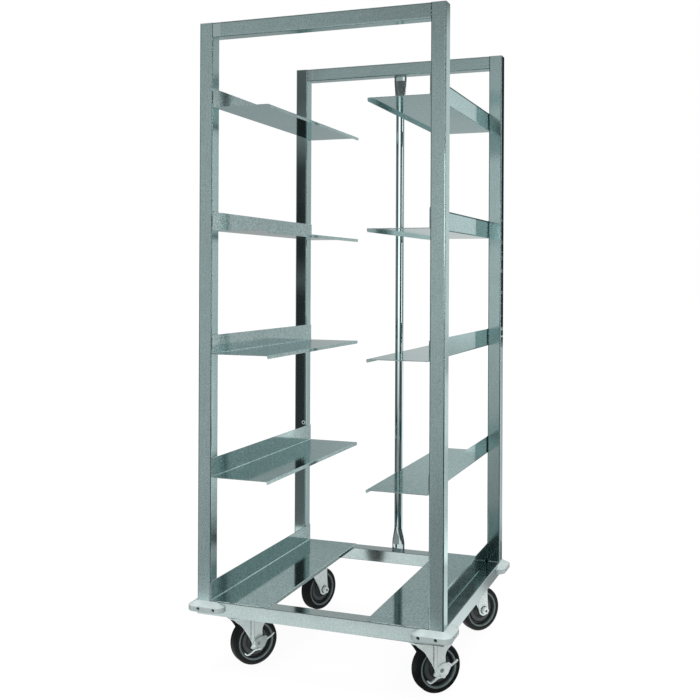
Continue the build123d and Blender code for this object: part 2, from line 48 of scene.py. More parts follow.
# ------------------------------------------------------------------ node helpers
class Tree:
    """A small helper that builds a shader node tree."""

    def __init__(self, tree):
        self.t = tree
        tree.nodes.clear()

    def add(self, kind, **props):
        n = self.t.nodes.new(kind)
        for k, v in props.items():
            if k.startswith("in_"):
                n.inputs[int(k[3:])].default_value = v
            else:
                setattr(n, k, v)
        return n

    def link(self, a, b):
        self.t.links.new(a, b)

    def math(self, op, a, b=None, clamp=False):
        n = self.add("ShaderNodeMath", operation=op, use_clamp=clamp)
        for i, v in enumerate((a, b)):
            if v is None:
                continue
            if isinstance(v, (int, float)):
                n.inputs[i].default_value = v
            else:
                self.link(v, n.inputs[i])
        return n.outputs[0]

    def noise(self, vector, scale, detail=2.0, rough=0.5, dist=0.0):
        n = self.add("ShaderNodeTexNoise")
        n.inputs["Scale"].default_value = scale
        n.inputs["Detail"].default_value = detail
        n.inputs["Roughness"].default_value = rough
        n.inputs["Distortion"].default_value = dist
        self.link(vector, n.inputs["Vector"])
        return n.outputs["Fac"]

    def scaled(self, vector, scale, offset=(0, 0, 0)):
        n = self.add("ShaderNodeMapping")
        n.inputs["Scale"].default_value = scale
        n.inputs["Location"].default_value = offset
        self.link(vector, n.inputs["Vector"])
        return n.outputs["Vector"]

    def ramp(self, fac, stops, interp="LINEAR"):
        n = self.add("ShaderNodeValToRGB")
        n.color_ramp.interpolation = interp
        e = n.color_ramp.elements
        while len(e) > 1:
            e.remove(e[-1])
        for i, (p, c) in enumerate(stops):
            s = e[0] if i == 0 else e.new(p)
            s.position = p
            s.color = (*c, 1.0) if len(c) == 3 else c
        self.link(fac, n.inputs["Fac"])
        return n.outputs["Color"]

    def remap(self, v, a, b, c, d, smooth=True):
        n = self.add("ShaderNodeMapRange")
        n.interpolation_type = "SMOOTHSTEP" if smooth else "LINEAR"
        n.inputs["From Min"].default_value = a
        n.inputs["From Max"].default_value = b
        n.inputs["To Min"].default_value = c
        n.inputs["To Max"].default_value = d
        self.link(v, n.inputs["Value"])
        return n.outputs["Result"]

    def mix(self, fac, a, b):
        n = self.add("ShaderNodeMix", data_type="RGBA")
        if isinstance(fac, (int, float)):
            n.inputs[0].default_value = fac
        else:
            self.link(fac, n.inputs[0])
        for i, v in ((6, a), (7, b)):
            if isinstance(v, tuple):
                n.inputs[i].default_value = (*v, 1.0)
            else:
                self.link(v, n.inputs[i])
        return n.outputs[2]

    def bump(self, height, distance, strength=1.0, normal=None):
        n = self.add("ShaderNodeBump")
        n.inputs["Strength"].default_value = strength
        n.inputs["Distance"].default_value = distance
        self.link(height, n.inputs["Height"])
        if normal is not None:
            self.link(normal, n.inputs["Normal"])
        return n.outputs["Normal"]

    def bevel(self, radius, samples=4):
        n = self.add("ShaderNodeBevel", samples=samples)
        n.inputs["Radius"].default_value = radius
        return n.outputs["Normal"]

    def principled(self, **values):
        n = self.add("ShaderNodeBsdfPrincipled")
        out = self.add("ShaderNodeOutputMaterial")
        self.link(n.outputs[0], out.inputs["Surface"])
        for k, v in values.items():
            sock = n.inputs[k.replace("_", " ")]
            if isinstance(v, bpy.types.NodeSocket):
                self.link(v, sock)
            elif isinstance(v, tuple) and len(v) == 3 and sock.type == "RGBA":
                sock.default_value = (*v, 1.0)
            else:
                sock.default_value = v
        return n


def material(name):
    m = bpy.data.materials.new(name)
    m.use_nodes = True
    return m, Tree(m.node_tree)


def scale_colour(c, k):
    return tuple(max(0.0, min(1.0, x * k)) for x in c)


# ------------------------------------------------------------------ materials
EDGE = (0.78, 0.81, 0.81)     # keeps the steel from going white at a shallow look


def steel(name, base, rough, axis="Z", ripple=0.0, speckle=1.0, seed=0.0, streak=1.0, grit=360.0, edge=EDGE, marks=None):
    """Stainless steel: fine grain along one axis, sandy speckle, slow smudges and a faint waviness."""
    m, t = material(name)
    co = t.add("ShaderNodeTexCoord").outputs["Object"]
    across, along = 1100.0, 14.0
    s = {"X": (along, across, across), "Y": (across, along, across), "Z": (across, across, along)}[axis]
    grain = t.noise(t.scaled(co, s, (seed, seed * 0.7, seed * 1.3)), 1.0, 3.0, 0.6)
    sand = t.noise(t.scaled(co, (1, 1, 1), (seed, 0, seed)), grit, 2.0, 0.6)
    cloud = t.noise(t.scaled(co, (1, 1, 1), (seed * 2, seed, 0)), 9.0, 3.0, 0.55, 0.3)
    fleck = t.noise(t.scaled(co, (1, 1, 1), (0, seed, seed)), 900.0, 1.0, 0.5)
    g = t.math("ADD", t.math("MULTIPLY", grain, 0.3 * streak), t.math("MULTIPLY", sand, 1.0 - 0.3 * streak))
    k = 0.16 * speckle
    colour = t.mix(t.remap(g, 0.3, 0.7, 0.0, 1.0, False), scale_colour(base, 1 - k), scale_colour(base, 1 + k))
    colour = t.mix(t.remap(cloud, 0.35, 0.7, 0.0, 0.25), colour, scale_colour(base, 0.84))
    if marks:
        colour = marks(t, co, colour, base)
    r = t.math("ADD", t.math("MULTIPLY", t.math("SUBTRACT", cloud, 0.5), 0.08), rough)
    r = t.math("ADD", r, t.math("MULTIPLY", t.math("SUBTRACT", fleck, 0.5), 0.08), True)
    if callable(edge):
        edge = edge(t, co)
    n = t.bump(grain, 0.00001, 0.4 * streak)
    n = t.bump(sand, 0.00002, 0.35, n)
    if ripple:
        wave = t.noise(t.scaled(co, (1, 1, 0.45) if axis == "Z" else (1, 1, 1), (seed, seed, seed)), 13.0, 1.5, 0.5)
        n = t.bump(wave, ripple, 1.0, n)
    t.principled(Base_Color=colour, Metallic=1.0, Roughness=r, Specular_Tint=edge, Normal=n)
    return m


def rail_metal():
    """Light extruded tube with a fine sandy skin, glossy at a shallow look."""
    m, t = material("rail_metal")
    co = t.add("ShaderNodeTexCoord").outputs["Object"]
    sand = t.noise(co, 240.0, 3.0, 0.6)
    cloud = t.noise(co, 16.0, 3.0, 0.6, 0.4)
    colour = t.mix(t.remap(sand, 0.3, 0.7, 0.0, 1.0, False), (0.46, 0.565, 0.56), (0.62, 0.735, 0.73))
    colour = t.mix(t.remap(cloud, 0.35, 0.75, 0.0, 0.3), colour, (0.46, 0.57, 0.56))
    r = t.math("ADD", t.math("MULTIPLY", cloud, 0.06), 0.08)
    n = t.bump(sand, 0.00003, 0.4)
    t.principled(Base_Color=colour, Metallic=1.0, Roughness=r, Specular_Tint=EDGE, Normal=n)
    return m


def bumper_plastic():
    m, t = material("bumper_plastic")
    co = t.add("ShaderNodeTexCoord").outputs["Object"]
    pores = t.noise(co, 900.0, 2.0, 0.6)
    cloud = t.noise(co, 24.0, 4.0, 0.6, 0.5)
    scuff = t.noise(t.scaled(co, (40, 40, 500)), 1.0, 3.0, 0.7)
    colour = t.mix(t.remap(cloud, 0.35, 0.7, 0.0, 1.0), (0.46, 0.54, 0.535), (0.55, 0.63, 0.625))
    colour = t.mix(t.remap(scuff, 0.62, 0.75, 0.0, 0.35), colour, (0.34, 0.41, 0.41))
    # Faces that don't face up take the darker shade colour: painted shade on the fronts and sides, and the lighter tops
    # are painted light from above.
    geo = t.add("ShaderNodeNewGeometry")
    nz = t.add("ShaderNodeSeparateXYZ")
    t.link(geo.outputs["Normal"], nz.inputs[0])
    painted_light_on_top = t.remap(nz.outputs[2], 0.25, 0.75, 0.0, 1.0)
    shade = t.mix(t.remap(cloud, 0.35, 0.7, 0.0, 1.0), (0.31, 0.375, 0.372), (0.37, 0.435, 0.43))
    colour = t.mix(painted_light_on_top, shade, colour)
    r = t.math("ADD", t.math("MULTIPLY", pores, 0.2), 0.32)
    n = t.bump(pores, 0.00005, 0.35, t.bevel(0.0006))
    t.principled(Base_Color=colour, Metallic=0.0, Roughness=r, Normal=n)
    return m


def zinc(name="bright_zinc", base=(0.80, 0.885, 0.875), rough=0.30, seed=0.0, metallic=0.35, shade=None):
    """Bright zinc plate on pressed steel, with the slight spangle of plating."""
    m, t = material(name)
    co = t.add("ShaderNodeTexCoord").outputs["Object"]
    co = t.scaled(co, (1, 1, 1), (seed, seed, seed))
    sand = t.noise(co, 700.0, 2.0, 0.6)
    cloud = t.noise(co, 45.0, 3.0, 0.6, 0.6)
    colour = t.mix(t.remap(sand, 0.3, 0.7, 0.0, 1.0, False), scale_colour(base, 0.9), scale_colour(base, 1.08))
    colour = t.mix(t.remap(cloud, 0.4, 0.75, 0.0, 0.5), colour, scale_colour(base, 0.78))
    if shade:
        colour = shade(t, colour)
    r = t.math("ADD", t.math("MULTIPLY", cloud, 0.2), rough)
    n = t.bump(sand, 0.00004, 0.4)
    n = t.bump(cloud, 0.0004, 0.35, n)
    t.principled(Base_Color=colour, Metallic=metallic, Roughness=r, Normal=n)
    return m


def wheel_frame(t, centre, normal):
    """Coordinates of a wheel: along its axle, forwards, height, and radius, as sockets."""
    co = t.add("ShaderNodeTexCoord").outputs["Object"]
    d = t.add("ShaderNodeVectorMath", operation="SUBTRACT")
    t.link(co, d.inputs[0])
    d.inputs[1].default_value = centre
    got = []
    for v in (normal, (-normal[1], normal[0], 0.0), (0.0, 0.0, 1.0)):
        dot = t.add("ShaderNodeVectorMath", operation="DOT_PRODUCT")
        t.link(d.outputs[0], dot.inputs[0])
        dot.inputs[1].default_value = v
        got.append(dot.outputs["Value"])
    w, u, z = got
    r = t.math("SQRT", t.math("ADD", t.math("MULTIPLY", u, u), t.math("MULTIPLY", z, z)))
    return w, u, z, r


def band(t, v, a, b, soft):
    """One between a and b, zero outside."""
    return t.math("MULTIPLY", t.remap(v, a - soft, a + soft, 0.0, 1.0), t.remap(v, b - soft, b + soft, 1.0, 0.0))


def fork_zinc(name, centre, normal, seed, front, base):
    """Zinc of a fork: the inner faces painted dark as shade, painted shade in the creases beside the rib on the front
    forks, and a painted shadow ring round the nut on the rear ones.
    """
    def shade(t, colour):
        w, u, z, r = wheel_frame(t, centre, normal)
        # inner faces of the legs painted near black up to near the crown: painted shade between the legs
        inner = t.math("MULTIPLY", band(t, w, -0.0244, 0.0209, 0.0002), t.remap(z, 0.0605, 0.0655, 1.0, 0.0))
        colour = t.mix(inner, colour, (0.030, 0.035, 0.037))
        if front:
            # painted shade: dark lines in the creases at both edges of the rib on the outer face, broken up by noise
            edge = t.math("ADD", band(t, u, -0.0206, -0.0192, 0.0004), band(t, u, -0.0116, -0.0094, 0.0004), True)
            blot = t.noise(t.scaled(t.add("ShaderNodeTexCoord").outputs["Object"], (1, 1, 1), (seed, 3, 1)), 130.0, 2.0, 0.6)
            edge = t.math("MULTIPLY", edge, t.math("MULTIPLY", t.remap(z, 0.008, 0.016, 0.0, 1.0), t.remap(z, 0.060, 0.066, 1.0, 0.0)))
            edge = t.math("MULTIPLY", edge, t.math("MULTIPLY", t.remap(w, 0.0235, 0.0243, 0.0, 1.0), t.remap(blot, 0.35, 0.6, 0.35, 0.9)))
            colour = t.mix(edge, colour, (0.05, 0.06, 0.063))
        else:
            # painted shadow: a dark ring round the nut on the outer face of the rear forks
            painted_hub_shadow = t.math("MULTIPLY", band(t, r, 0.0078, 0.0102, 0.0005), t.remap(w, 0.0235, 0.0243, 0.0, 1.0))
            colour = t.mix(t.math("MULTIPLY", painted_hub_shadow, 0.85), colour, (0.04, 0.05, 0.052))
        return colour
    return zinc(name, base=base, seed=seed, shade=shade)


def bolt_zinc(name, centre, normal):
    """Bright nut with painted shade on the washer and on the bolt's end in its middle."""
    def shade(t, colour):
        w, u, z, r = wheel_frame(t, centre, normal)
        outer = t.remap(w, 0.0240, 0.0243, 0.0, 1.0)
        washer = t.math("MULTIPLY", outer, t.math("MULTIPLY", t.remap(r, 0.0072, 0.0076, 0.0, 1.0), t.remap(w, 0.0262, 0.0264, 1.0, 0.0)))
        tip = t.math("MULTIPLY", outer, t.remap(r, 0.0038, 0.0042, 1.0, 0.0))
        return t.mix(t.math("MAXIMUM", washer, tip), colour, (0.10, 0.115, 0.118))
    return zinc(name, base=(0.86, 0.93, 0.925), shade=shade)


def shaded_lever_zinc(name, centre, normal):
    """Front left brake lever: the zinc plate painted darker as shade, with its outward foot tabs kept at the bright
    zinc tone.
    """
    def shade(t, colour):
        w, u, z, r = wheel_frame(t, centre, normal)
        return t.mix(t.remap(w, 0.0318, 0.0330, 0.0, 1.0), colour, (0.78, 0.87, 0.86))
    return zinc(name, base=(0.37, 0.43, 0.425), seed=3.3, shade=shade)


def rubber():
    m, t = material("tyre_rubber")
    co = t.add("ShaderNodeTexCoord").outputs["Object"]
    sand = t.noise(co, 1200.0, 2.0, 0.6)
    cloud = t.noise(co, 60.0, 4.0, 0.6, 0.4)
    colour = t.mix(t.remap(cloud, 0.35, 0.7, 0.0, 1.0), (0.0035, 0.0045, 0.0048), (0.008, 0.0098, 0.0102))
    r = t.math("ADD", t.math("MULTIPLY", cloud, 0.2), 0.44)
    n = t.bump(sand, 0.00005, 0.4)
    n = t.bump(cloud, 0.0002, 0.2, n)
    t.principled(Base_Color=colour, Metallic=0.0, Roughness=r, Specular_IOR_Level=0.22, Normal=n)
    return m


def core_plastic(name, centre, normal):
    """Moulded wheel core of black plastic, told apart by radius: a lighter ring at the rim and a grey band that are
    painted highlight, a near-black groove that is painted shade, and the dark web and hub.
    """
    m, t = material(name)
    co = t.add("ShaderNodeTexCoord").outputs["Object"]
    d = t.add("ShaderNodeVectorMath", operation="SUBTRACT")
    t.link(co, d.inputs[0])
    d.inputs[1].default_value = centre
    dot = t.add("ShaderNodeVectorMath", operation="DOT_PRODUCT")
    t.link(d.outputs[0], dot.inputs[0])
    dot.inputs[1].default_value = normal
    along = t.add("ShaderNodeVectorMath", operation="SCALE")
    along.inputs[0].default_value = normal
    t.link(dot.outputs["Value"], along.inputs["Scale"])
    flat = t.add("ShaderNodeVectorMath", operation="SUBTRACT")
    t.link(d.outputs[0], flat.inputs[0])
    t.link(along.outputs[0], flat.inputs[1])
    length = t.add("ShaderNodeVectorMath", operation="LENGTH")
    t.link(flat.outputs[0], length.inputs[0])
    r_m = length.outputs["Value"]
    k = 1.0 / 0.055
    # the rim ring and the grey band are painted highlight on the black plastic; the near-black stops in the groove are
    # painted shade
    rim = (0.115, 0.15, 0.155)
    web = (0.022, 0.027, 0.029)
    ring = t.ramp(t.math("MULTIPLY", r_m, k), [
        (0.0, web), (0.0165 * k, web), (0.0235 * k, (0.02, 0.024, 0.026)), (0.0262 * k, (0.04, 0.05, 0.053)),
        (0.0362 * k, (0.04, 0.05, 0.053)), (0.0385 * k, (0.006, 0.007, 0.008)), (0.0438 * k, (0.006, 0.007, 0.008)),
        (0.0456 * k, rim), (0.0505 * k, rim)])
    cloud = t.noise(co, 80.0, 3.0, 0.6, 0.3)
    sand = t.noise(co, 1100.0, 2.0, 0.6)
    colour = t.mix(t.remap(cloud, 0.35, 0.7, 0.0, 0.35), ring, (0.03, 0.036, 0.038))
    r = t.math("ADD", t.math("MULTIPLY", cloud, 0.2), 0.26)
    n = t.bump(sand, 0.00004, 0.35)
    t.principled(Base_Color=colour, Metallic=0.0, Roughness=r, Normal=n)
    return m


def dark_metal():
    m, t = material("black_screw")
    co = t.add("ShaderNodeTexCoord").outputs["Object"]
    sand = t.noise(co, 1500.0, 2.0, 0.6)
    colour = t.mix(sand, (0.012, 0.013, 0.014), (0.035, 0.038, 0.04))
    n = t.bump(sand, 0.00004, 0.4)
    t.principled(Base_Color=colour, Metallic=0.6, Roughness=t.remap(sand, 0.3, 0.7, 0.35, 0.6, False), Normal=n)
    return m


def weld_metal():
    """Bright rippled weld bead with darker oxide in its valleys."""
    m, t = material("weld_metal")
    co = t.add("ShaderNodeTexCoord").outputs["Object"]
    fine = t.noise(co, 900.0, 2.0, 0.6)
    heat = t.noise(co, 160.0, 2.0, 0.6)
    colour = t.mix(t.remap(heat, 0.35, 0.7, 0.0, 1.0), (0.72, 0.80, 0.80), (0.50, 0.60, 0.61))
    colour = t.mix(t.remap(fine, 0.55, 0.75, 0.0, 0.5), colour, (0.22, 0.27, 0.28))
    n = t.bump(fine, 0.0001, 0.5)
    t.principled(Base_Color=colour, Metallic=1.0, Roughness=t.remap(fine, 0.3, 0.7, 0.12, 0.3, False), Normal=n)
    return m


STEEL = (0.50, 0.66, 0.66)


LEDGE_PITCH = 0.3185
LEDGE_TOP = max(v.co.z for v in nodes_by_name["right_ledge_1"].data.vertices)


def sheet_edge(t, co):
    """Shallow looks along the ledges: a painted shade line, dark in the edge tint, under the top edge of the right
    flanges' outer faces.
    """
    facing = t.add("ShaderNodeSeparateXYZ")
    t.link(t.add("ShaderNodeNewGeometry").outputs["Normal"], facing.inputs[0])
    here = t.add("ShaderNodeSeparateXYZ")
    t.link(co, here.inputs[0])
    down = t.math("MULTIPLY", t.math("SUBTRACT", LEDGE_TOP + 0.0005, here.outputs[2]), 1.0 / LEDGE_PITCH)
    line = t.remap(t.math("FRACT", down), 0.0120, 0.0150, 1.0, 0.0)
    outer = t.math("MULTIPLY", t.remap(facing.outputs[0], 0.5, 0.6, 0.0, 1.0), t.remap(here.outputs[0], 0.2, 0.21, 0.0, 1.0))
    outer = t.math("MULTIPLY", outer, t.remap(here.outputs[2], 1.0, 1.02, 0.0, 1.0))
    return t.mix(t.math("MULTIPLY", line, outer), (0.71, 0.81, 0.81), (0.10, 0.12, 0.12))


def dark_reflection_side(t, co):
    """Right face of the rear right post: a painted dark reflection in the edge tint at a shallow look, broken by bright
    flecks lower down.
    """
    here = t.add("ShaderNodeSeparateXYZ")
    t.link(co, here.inputs[0])
    facing = t.add("ShaderNodeSeparateXYZ")
    t.link(t.add("ShaderNodeNewGeometry").outputs["Normal"], facing.inputs[0])
    z = here.outputs[2]
    flecks = t.remap(t.noise(t.scaled(co, (0, 0, 1)), 48.0, 1.0, 0.5), 0.54, 0.60, 1.0, 0.0)
    solid = t.remap(z, 1.20, 1.24, 0.0, 1.0)
    dark = t.math("MULTIPLY", t.math("MAXIMUM", flecks, solid), t.remap(z, 0.80, 0.86, 0.0, 1.0))
    return t.mix(t.math("MULTIPLY", dark, t.remap(facing.outputs[0], 0.5, 0.6, 0.0, 1.0)), EDGE, (0.03, 0.035, 0.035))


def ground_end(t, co, colour, base):
    """Where the weld at the left end of a bar was ground flush the finish is lighter."""
    xyz = t.add("ShaderNodeSeparateXYZ")
    t.link(co, xyz.inputs[0])
    wobble = t.math("MULTIPLY", t.noise(co, 60.0, 2.0, 0.5), 0.004)
    patch = t.remap(t.math("ADD", xyz.outputs[0], wobble), -0.2690, -0.2665, 1.0, 0.0)
    return t.mix(t.math("MULTIPLY", patch, 0.75), colour, (0.66, 0.83, 0.82))


mats = {
    "tube_z": steel("satin_tube_upright", STEEL, 0.15, "Z", ripple=0.00002, seed=0.3, speckle=2.0),
    "tube_x": steel("satin_tube_cross", STEEL, 0.14, "X", ripple=0.00002, seed=1.7, speckle=2.0, marks=ground_end),
    "rear_z": steel("polished_tube_upright", STEEL, 0.14, "Z", ripple=0.00005, seed=2.9, speckle=1.7),
    "rear_r": steel("polished_tube_dark_reflection", STEEL, 0.14, "Z", ripple=0.00005, seed=2.9, speckle=1.7, edge=dark_reflection_side),
    "rear_l": steel("mirror_tube_upright", STEEL, 0.055, "Z", ripple=0.00009, seed=6.1, speckle=1.0),
    "rod": steel("polished_rod", (0.60, 0.73, 0.73), 0.06, "Z", ripple=0.00002, seed=4.1, speckle=0.3),
    "sheet": steel("rolled_sheet", (0.505, 0.63, 0.63), 0.09, "Y", ripple=0.00003, seed=5.3, streak=0.1, speckle=2.2, grit=230.0, edge=sheet_edge),
    "rail": rail_metal(),
    "bumper": bumper_plastic(),
    "zinc": zinc(),
    "race": zinc("dull_zinc", (0.55, 0.62, 0.62), 0.3, 3.0),
    "shade_dark_zinc": zinc("shade_dark_zinc", (0.30, 0.345, 0.35), 0.34, 5.0),
    "balls": steel("ball_steel", (0.55, 0.6, 0.6), 0.18, "Z", seed=7.7),
    "rubber": rubber(),
    "screw": dark_metal(),
    "weld": weld_metal(),
}


def dress(node, mat):
    o = nodes_by_name[node]
    o.data.materials.clear()
    o.data.materials.append(mat)


for n in nodes_by_name:
    if n.endswith("_post"):
        dress(n, mats["rear_l"] if n.startswith("rear_left") else mats["rear_r"] if n.startswith("rear_right") else mats["rear_z"] if n.startswith("rear") else mats["tube_z"])
    elif n == "post_top_caps" or n.endswith("_top_bar"):
        dress(n, mats["tube_x"])
    elif "_ledge_" in n:
        dress(n, mats["sheet"])
    elif n.endswith("_base_rail"):
        dress(n, mats["rail"])
    elif n == "rear_stop_rod":
        dress(n, mats["rod"])
    elif n.endswith("_bumper"):
        dress(n, mats["bumper"])
    elif n == "bumper_screws":
        dress(n, mats["screw"])
    elif n.endswith("_tyre"):
        dress(n, mats["rubber"])
    elif n.endswith("_wheel_core"):
        pass
    # front axle bolts sit in the lever's socket: their darker zinc is painted shade standing for the dark socket
    elif n.startswith("front_") and n.endswith("_axle_bolt"):
        dress(n, mats["shade_dark_zinc"])
    elif n.endswith("_wheel_bush") or n == "swivel_balls":
        dress(n, mats["balls"])
    elif n.endswith("_caster_plate") or n == "caster_mounting_plates":
        dress(n, mats["race"])
    else:
        dress(n, mats["zinc"])

for corner, (sx, sy, deg) in CORNERS.items():
    a = math.radians(deg)
    nx, ny = math.cos(a), math.sin(a)
    cx, cy = sx * KING_X - ny * TRAIL, sy * KING_Y + nx * TRAIL
    dress(f"{corner}_wheel_core", core_plastic(f"wheel_core_{corner}", (cx, cy, WHEEL_R), (nx, ny, 0.0)))
    if sy > 0:
        dress(f"{corner}_axle_bolt", bolt_zinc(f"bolt_zinc_{corner}", (cx, cy, WHEEL_R), (nx, ny, 0.0)))
    if corner == "front_left":
        dress(f"{corner}_brake_lever", shaded_lever_zinc(f"shaded_lever_zinc_{corner}", (cx, cy, WHEEL_R), (nx, ny, 0.0)))
    # The front left fork takes a darker zinc than the other three: painted shade, as it stands under the cart.
    dress(f"{corner}_fork", fork_zinc(f"fork_zinc_{corner}", (cx, cy, WHEEL_R), (nx, ny, 0.0), deg * 0.1, sy < 0,
                                     (0.66, 0.755, 0.75) if corner == "front_left" else (0.80, 0.885, 0.875)))


# ------------------------------------------------------------------ weld beads
def bead(bm, path, normal, width, height, pitch=0.0016, seed=0):
    """A rippled weld bead along a polyline, standing on a face with the given normal."""
    up = Vector(normal).normalized()
    pts = [Vector(p) for p in path]
    total = sum((b - a).length for a, b in zip(pts, pts[1:]))
    steps = max(6, int(total / (pitch * 0.25)))
    rings = []
    for i in range(steps + 1):
        s = total * i / steps
        run = s
        for a, b in zip(pts, pts[1:]):
            seg = (b - a).length
            if run <= seg + 1e-9:
                p = a + (b - a) * (run / seg)
                d = (b - a).normalized()
                break
            run -= seg
        side = d.cross(up).normalized()
        phase = (s / pitch) % 1.0
        scale = 0.86 + 0.16 * math.sin(math.pi * phase) + 0.08 * noise.noise(Vector((s * 400, seed * 3.1, 0.5)))
        end = min(1.0, min(s, total - s) / (width * 0.6))
        scale *= math.sqrt(max(0.0, 1 - (1 - end) ** 2)) if end < 1 else 1.0
        scale = max(scale, 0.03)
        ring = []
        for k in range(9):
            ang = math.pi * k / 8
            ring.append(bm.verts.new(p + side * (math.cos(ang) * width / 2 * scale) + up * (math.sin(ang) * height * scale)
                                     - up * (0.0002 if k in (0, 8) else 0.0)))
        rings.append(ring)
    for r0, r1 in zip(rings, rings[1:]):
        for k in range(8):
            bm.faces.new((r0[k], r0[k + 1], r1[k + 1], r1[k]))
        bm.faces.new((r0[8], r0[0], r1[0], r1[8]))
    bm.faces.new(rings[0])
    bm.faces.new(list(reversed(rings[-1])))


def make_piece(name, bm, mat, body="frame", smooth=True):
    bmesh.ops.recalc_face_normals(bm, faces=bm.faces)
    me = bpy.data.meshes.new(name)
    bm.to_mesh(me)
    bm.free()
    me.materials.append(mat)
    for f in me.polygons:
        f.use_smooth = smooth
    o = bpy.data.objects.new(name, me)
    bpy.context.scene.collection.objects.link(o)
    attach(o, body)
    return o


# ledge flanges to posts: along the flange's upper edge and its end, on each post
bm = bmesh.new()
k = 0
for sx in (-1, 1):
    face_x = sx * (HW - TUBE)
    for level in range(5):
        z0 = TOP + level * PITCH
        for sy in (-1, 1):
            y_out, y_in = sy * (HW - 0.0045), sy * (HW - TUBE + 0.004)
            k += 1
            bead(bm, [(face_x - sx * 0.0009, y_out, z0 + 0.0503), (face_x - sx * 0.0009, y_in, z0 + 0.0503)], (-sx * 0.7, 0, 0.7), 0.0032, 0.0011, seed=k)
            bead(bm, [(face_x - sx * 0.0006, sy * (HW - 0.0021), z0 + 0.010), (face_x - sx * 0.0006, sy * (HW - 0.0021), z0 + 0.044)], (-sx * 0.7, sy * 0.7, 0), 0.0024, 0.0007, seed=k + 40)
make_piece("ledge_flange_welds", bm, mats["weld"])

# bars to posts: a bead under each end, and short tacks in the groove beside the post's rounded corner
bm = bmesh.new()
for sx in (-1, 1):
    x = sx * (HW - TUBE)
    for sy in (-1, 1):
        y0 = sy * (HW - TUBE / 2)
        k += 1
        bead(bm, [(x, y0 - 0.0165, Z_BAR), (x, y0 + 0.0165, Z_BAR)], (-sx * 0.7, 0, -0.7), 0.0036, 0.0012, seed=k)
        for f in (-1, 1):
            y_face = y0 + f * (TUBE / 2 - 0.0014)
            for z0, z1 in ((0.006, 0.0095), (0.0155, 0.0215), (0.0285, 0.032)):
                k += 1
                bead(bm, [(x + sx * 0.0006, y_face, Z_BAR + z0), (x + sx * 0.0006, y_face, Z_BAR + z1)], (0, f, 0), 0.0030, 0.0012, seed=k)
make_piece("top_bar_welds", bm, mats["weld"])

# lowest ledges to the base rails, stitched at the shelf's front and rear edges
bm = bmesh.new()
for sx in (-1, 1):
    for sy in (-1, 1):
        y = sy * (HW - 0.002)
        for x0, x1 in ((0.286, 0.276), (0.236, 0.222), (0.150, 0.135)):
            k += 1
            bead(bm, [(sx * x0, y, TOP), (sx * x1, y, TOP)], (0, sy * 0.7, 0.7), 0.0036, 0.0017, seed=k)
make_piece("base_stitch_welds", bm, mats["weld"])

# posts to the base rails, along the two inner sides
bm = bmesh.new()
for sx in (-1, 1):
    for sy in (-1, 1):
        xi, yi = sx * (HW - TUBE), sy * (HW - TUBE)
        k += 1
        bead(bm, [(sx * (HW - 0.003), yi, TOP), (sx * (HW - 0.034), yi, TOP)], (0, -sy * 0.7, 0.7), 0.0040, 0.0016, seed=k)
make_piece("post_foot_welds", bm, mats["weld"])

# stop rod to bar and rail, round its flattened ends
bm = bmesh.new()
rx, ry = 0.011, HW - TUBE / 2
for z, up in ((TOP, 1), (Z_BAR, -1)):
    for f in (-1, 1):
        pts = []
        for i in range(13):
            ang = math.pi * i / 12
            pts.append((rx + 0.0196 * math.cos(ang), ry + f * 0.0034 * math.sin(ang), z))
        k += 1
        bead(bm, pts, (0, f * 0.6, up * 0.8), 0.0038, 0.0018, seed=k)
make_piece("stop_rod_welds", bm, mats["weld"])

# small eyelet in the front face of the rear left post
def lathe_y(bm, x, y, z, profile, seg=48):
    """Turns (radius, depth) points about an axis that runs along Y; depth goes towards the front."""
    rings = []
    for r, d in profile:
        if r < 1e-7:
            rings.append([bm.verts.new((x, y - d, z))])
        else:
            rings.append([bm.verts.new((x + r * math.cos(2 * math.pi * i / seg), y - d, z + r * math.sin(2 * math.pi * i / seg))) for i in range(seg)])
    for r0, r1 in zip(rings, rings[1:]):
        for i in range(seg):
            j = (i + 1) % seg
            if len(r0) == 1:
                bm.faces.new((r0[0], r1[i], r1[j]))
            elif len(r1) == 1:
                bm.faces.new((r0[i], r0[j], r1[0]))
            else:
                bm.faces.new((r0[i], r0[j], r1[j], r1[i]))


EYE = (-0.2996, HW - TUBE, 0.573)
bm = bmesh.new()
ring_profile = [(0.0034 + 0.0026 * (1 - math.cos(math.pi * i / 10)) / 2, 0.0009 * math.sin(math.pi * i / 10) + 0.00005) for i in range(11)]
lathe_y(bm, *EYE, ring_profile + [(0.0060, -0.0004), (0.0034, -0.0004), ring_profile[0]])
make_piece("post_eyelet", bm, mats["zinc"])
# A dark disc fills the eyelet's hole: painted shade standing for the hole.
bm = bmesh.new()
lathe_y(bm, *EYE, [(0.0, 0.0001), (0.0020, 0.00012), (0.0033, 0.0002), (0.0033, -0.0003), (0.0, -0.0003)])
make_piece("post_eyelet_core", bm, mats["screw"])

# ------------------------------------------------------------------ room: floor, light, camera
def plane(name, corners, mat):
    me = bpy.data.meshes.new(name)
    me.from_pydata([tuple(c) for c in corners], [], [(0, 1, 2, 3)])
    me.materials.append(mat)
    o = bpy.data.objects.new(name, me)
    bpy.context.scene.collection.objects.link(o)
    return o


